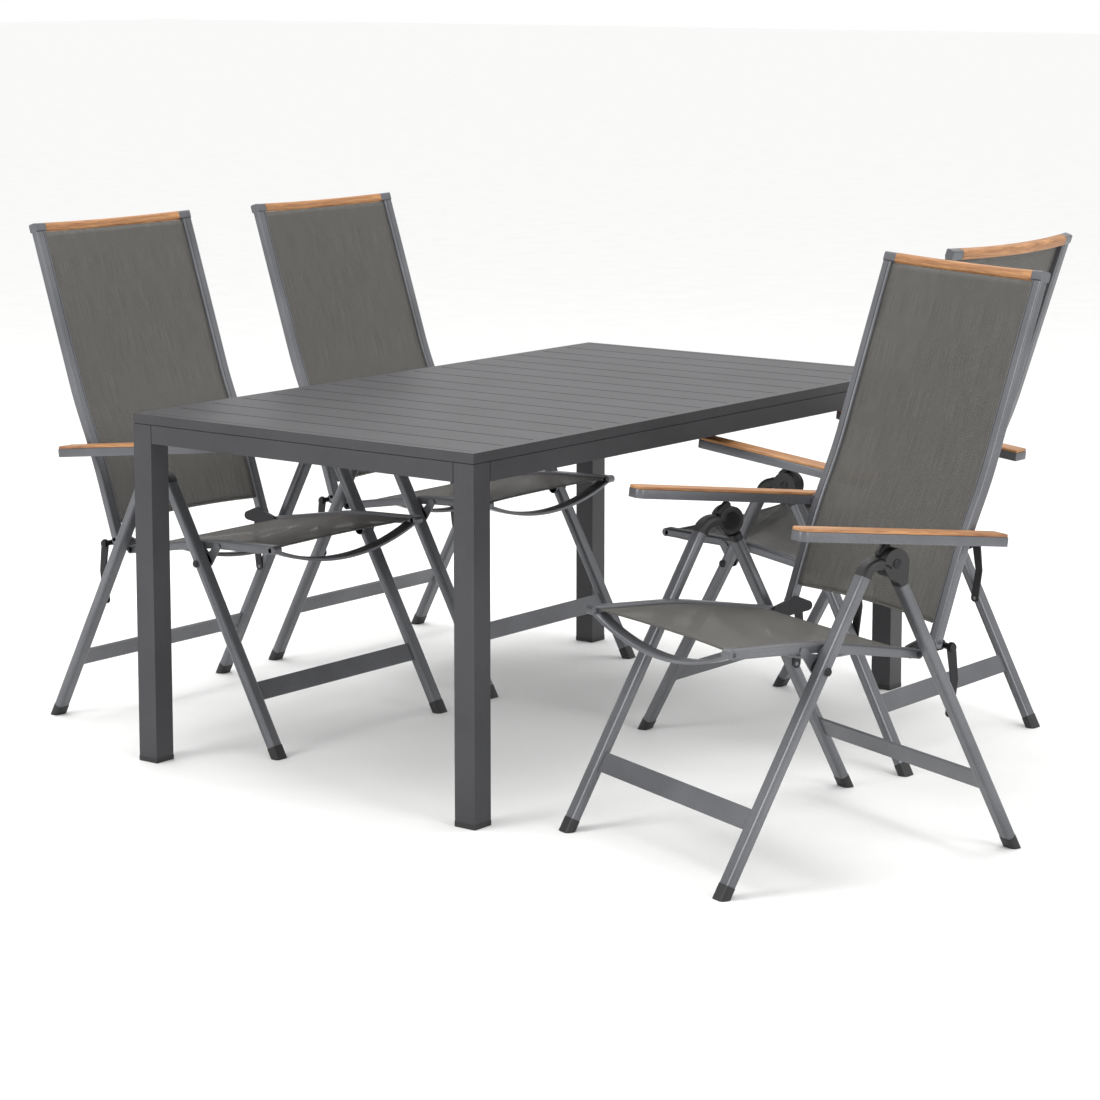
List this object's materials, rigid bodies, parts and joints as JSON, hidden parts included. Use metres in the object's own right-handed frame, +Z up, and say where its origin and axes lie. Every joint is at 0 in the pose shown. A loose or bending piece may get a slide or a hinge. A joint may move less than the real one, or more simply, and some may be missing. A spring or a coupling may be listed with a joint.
{
  "type": "patio dining set",
  "caption": "Rectangular slatted patio table with folding, reclining armchairs: grey tube frames, woven mesh seats and high backs, wood-topped armrests.",
  "frame": {"origin": "on the floor at the middle of the whole set's footprint", "axes": "+X along the table's long side, +Y across the table away from the turned chair, +Z up"},
  "size_m": [1.6766, 2.3522, 1.0968],
  "materials": {
    "table_metal": "dark anthracite powder coat, fine texture, satin",
    "chair_metal": "metallic grey powder coat, satin",
    "black_plastic": "black moulded plastic, lightly grained",
    "bolt_steel": "black coated steel",
    "woven_mesh": "grey-taupe coated mesh fabric, slightly see-through",
    "oiled_wood": "orange-brown oiled hardwood, straight grain"
  },
  "bodies": {
    "table": {"table_rim": "table_metal", "table_slats": "table_metal", "table_aprons": "table_metal", "table_legs": "table_metal", "table_feet": "black_plastic", "table_supports": "table_metal", "table_corner_plates": "table_metal", "table_corner_bolts": "bolt_steel"},
    "chair1": {"chair1_front_legs": "chair_metal", "chair1_front_caps": "black_plastic", "chair1_rear_legs": "chair_metal", "chair1_rear_caps": "black_plastic", "chair1_seat_frame": "chair_metal", "chair1_seat_fabric": "woven_mesh", "chair1_hinge_brackets": "bolt_steel", "chair1_links": "bolt_steel"},
    "chair1_back": {"chair1_back_frame": "chair_metal", "chair1_back_fabric": "woven_mesh", "chair1_top_rail": "oiled_wood", "chair1_arm_hinges": "chair_metal"},
    "chair1_arms": {"chair1_armrests": "oiled_wood"},
    "chair2": {"chair2_front_legs": "chair_metal", "chair2_front_caps": "black_plastic", "chair2_rear_legs": "chair_metal", "chair2_rear_caps": "black_plastic", "chair2_seat_frame": "chair_metal", "chair2_seat_fabric": "woven_mesh", "chair2_hinge_brackets": "bolt_steel", "chair2_links": "bolt_steel"},
    "chair2_back": {"chair2_back_frame": "chair_metal", "chair2_back_fabric": "woven_mesh", "chair2_top_rail": "oiled_wood", "chair2_arm_hinges": "chair_metal"},
    "chair2_arms": {"chair2_armrests": "oiled_wood"},
    "chair3": {"chair3_front_legs": "chair_metal", "chair3_front_caps": "black_plastic", "chair3_rear_legs": "chair_metal", "chair3_rear_caps": "black_plastic", "chair3_seat_frame": "chair_metal", "chair3_seat_fabric": "woven_mesh", "chair3_hinge_brackets": "bolt_steel", "chair3_links": "bolt_steel"},
    "chair3_back": {"chair3_back_frame": "chair_metal", "chair3_back_fabric": "woven_mesh", "chair3_top_rail": "oiled_wood", "chair3_arm_hinges": "chair_metal"},
    "chair3_arms": {"chair3_armrests": "oiled_wood"},
    "chair4": {"chair4_front_legs": "chair_metal", "chair4_front_caps": "black_plastic"},
    "chair4_rear": {"chair4_rear_legs": "chair_metal", "chair4_rear_caps": "black_plastic"},
    "chair4_seat": {"chair4_seat_frame": "chair_metal", "chair4_seat_fabric": "woven_mesh"},
    "chair4_brackets": {"chair4_hinge_brackets": "bolt_steel"},
    "chair4_back": {"chair4_back_frame": "chair_metal", "chair4_back_fabric": "woven_mesh", "chair4_top_rail": "oiled_wood"},
    "chair4_arm_hinges": {"chair4_arm_hinges": "chair_metal"},
    "chair4_arms": {"chair4_armrests": "oiled_wood"},
    "chair4_links": {"chair4_links": "bolt_steel"}
  },
  "joints": [
    {"name": "chair1_pull_out", "type": "slide", "parent": "table", "child": "chair1", "axis": [0, 1, 0], "range_m": [0, 0.35]},
    {"name": "chair1_recline", "type": "hinge", "parent": "chair1", "child": "chair1_back", "pos_m": [-0.27898, 0.9148, 0.408], "axis": [-1, 0, 0], "range_deg": [0, 30]},
    {"name": "chair1_arm_swing", "type": "hinge", "parent": "chair1_back", "child": "chair1_arms", "pos_m": [-0.27898, 0.9838, 0.607], "axis": [-1, 0, 0], "range_deg": [-20.4, 0]},
    {"name": "chair2_pull_out", "type": "slide", "parent": "table", "child": "chair2", "axis": [0, 1, 0], "range_m": [0, 0.35]},
    {"name": "chair2_recline", "type": "hinge", "parent": "chair2", "child": "chair2_back", "pos_m": [0.43902, 0.9148, 0.408], "axis": [-1, 0, 0], "range_deg": [0, 30]},
    {"name": "chair2_arm_swing", "type": "hinge", "parent": "chair2_back", "child": "chair2_arms", "pos_m": [0.43902, 0.9838, 0.607], "axis": [-1, 0, 0], "range_deg": [-20.4, 0]},
    {"name": "chair3_pull_out", "type": "slide", "parent": "table", "child": "chair3", "axis": [0, -1, 0], "range_m": [0, 0.35]},
    {"name": "chair3_recline", "type": "hinge", "parent": "chair3", "child": "chair3_back", "pos_m": [0.41102, -0.5432, 0.408], "axis": [1, 0, 0], "range_deg": [0, 30]},
    {"name": "chair3_arm_swing", "type": "hinge", "parent": "chair3_back", "child": "chair3_arms", "pos_m": [0.41102, -0.6122, 0.607], "axis": [1, 0, 0], "range_deg": [-20.4, 0]},
    {"name": "chair4_push", "type": "slide", "parent": "table", "child": "chair4", "axis": [-0.9317, 0.3633, 0], "range_m": [0, 0.5]},
    {"name": "chair4_fold", "type": "hinge", "parent": "chair4", "child": "chair4_rear", "pos_m": [-0.38063, -0.79895, 0.58], "axis": [0.3633, 0.9317, 0], "range_deg": [0, 50]},
    {"name": "chair4_seat_swing", "type": "hinge", "parent": "chair4", "child": "chair4_seat", "pos_m": [-0.52419, -0.74298, 0.396], "axis": [0.3633, 0.9317, 0], "range_deg": [0, 90]},
    {"name": "chair4_bracket_swing", "type": "hinge", "parent": "chair4_seat", "child": "chair4_brackets", "pos_m": [-0.3005, -0.83019, 0.394], "axis": [0.3633, 0.9317, 0], "range_deg": [-87.5, 0]},
    {"name": "chair4_recline", "type": "hinge", "parent": "chair4_brackets", "child": "chair4_back", "pos_m": [-0.25858, -0.84654, 0.408], "axis": [0.3633, 0.9317, 0], "range_deg": [0, 8]},
    {"name": "chair4_arm_lift", "type": "hinge", "parent": "chair4_back", "child": "chair4_arm_hinges", "pos_m": [-0.19429, -0.8716, 0.607], "axis": [0.3633, 0.9317, 0], "range_deg": [0, 116.5]},
    {"name": "chair4_arm_swing", "type": "hinge", "parent": "chair4_arm_hinges", "child": "chair4_arms", "pos_m": [-0.19429, -0.8716, 0.607], "axis": [0.3633, 0.9317, 0], "range_deg": [-5.44, 0]},
    {"name": "chair4_link_swing", "type": "hinge", "parent": "chair4_rear", "child": "chair4_links", "pos_m": [-0.23463, -0.85588, 0.275], "axis": [0.3633, 0.9317, 0], "range_deg": [0, 107.5]}
  ],
  "couplings": [
    {"joint": "chair1_arm_swing", "follows": "chair1_recline", "ratio": -0.68},
    {"joint": "chair2_arm_swing", "follows": "chair2_recline", "ratio": -0.68},
    {"joint": "chair3_arm_swing", "follows": "chair3_recline", "ratio": -0.68},
    {"joint": "chair4_seat_swing", "follows": "chair4_fold", "ratio": 1.8},
    {"joint": "chair4_bracket_swing", "follows": "chair4_fold", "ratio": -1.75},
    {"joint": "chair4_arm_lift", "follows": "chair4_fold", "ratio": 2.33},
    {"joint": "chair4_arm_swing", "follows": "chair4_recline", "ratio": -0.68},
    {"joint": "chair4_link_swing", "follows": "chair4_fold", "ratio": 2.15}
  ]
}
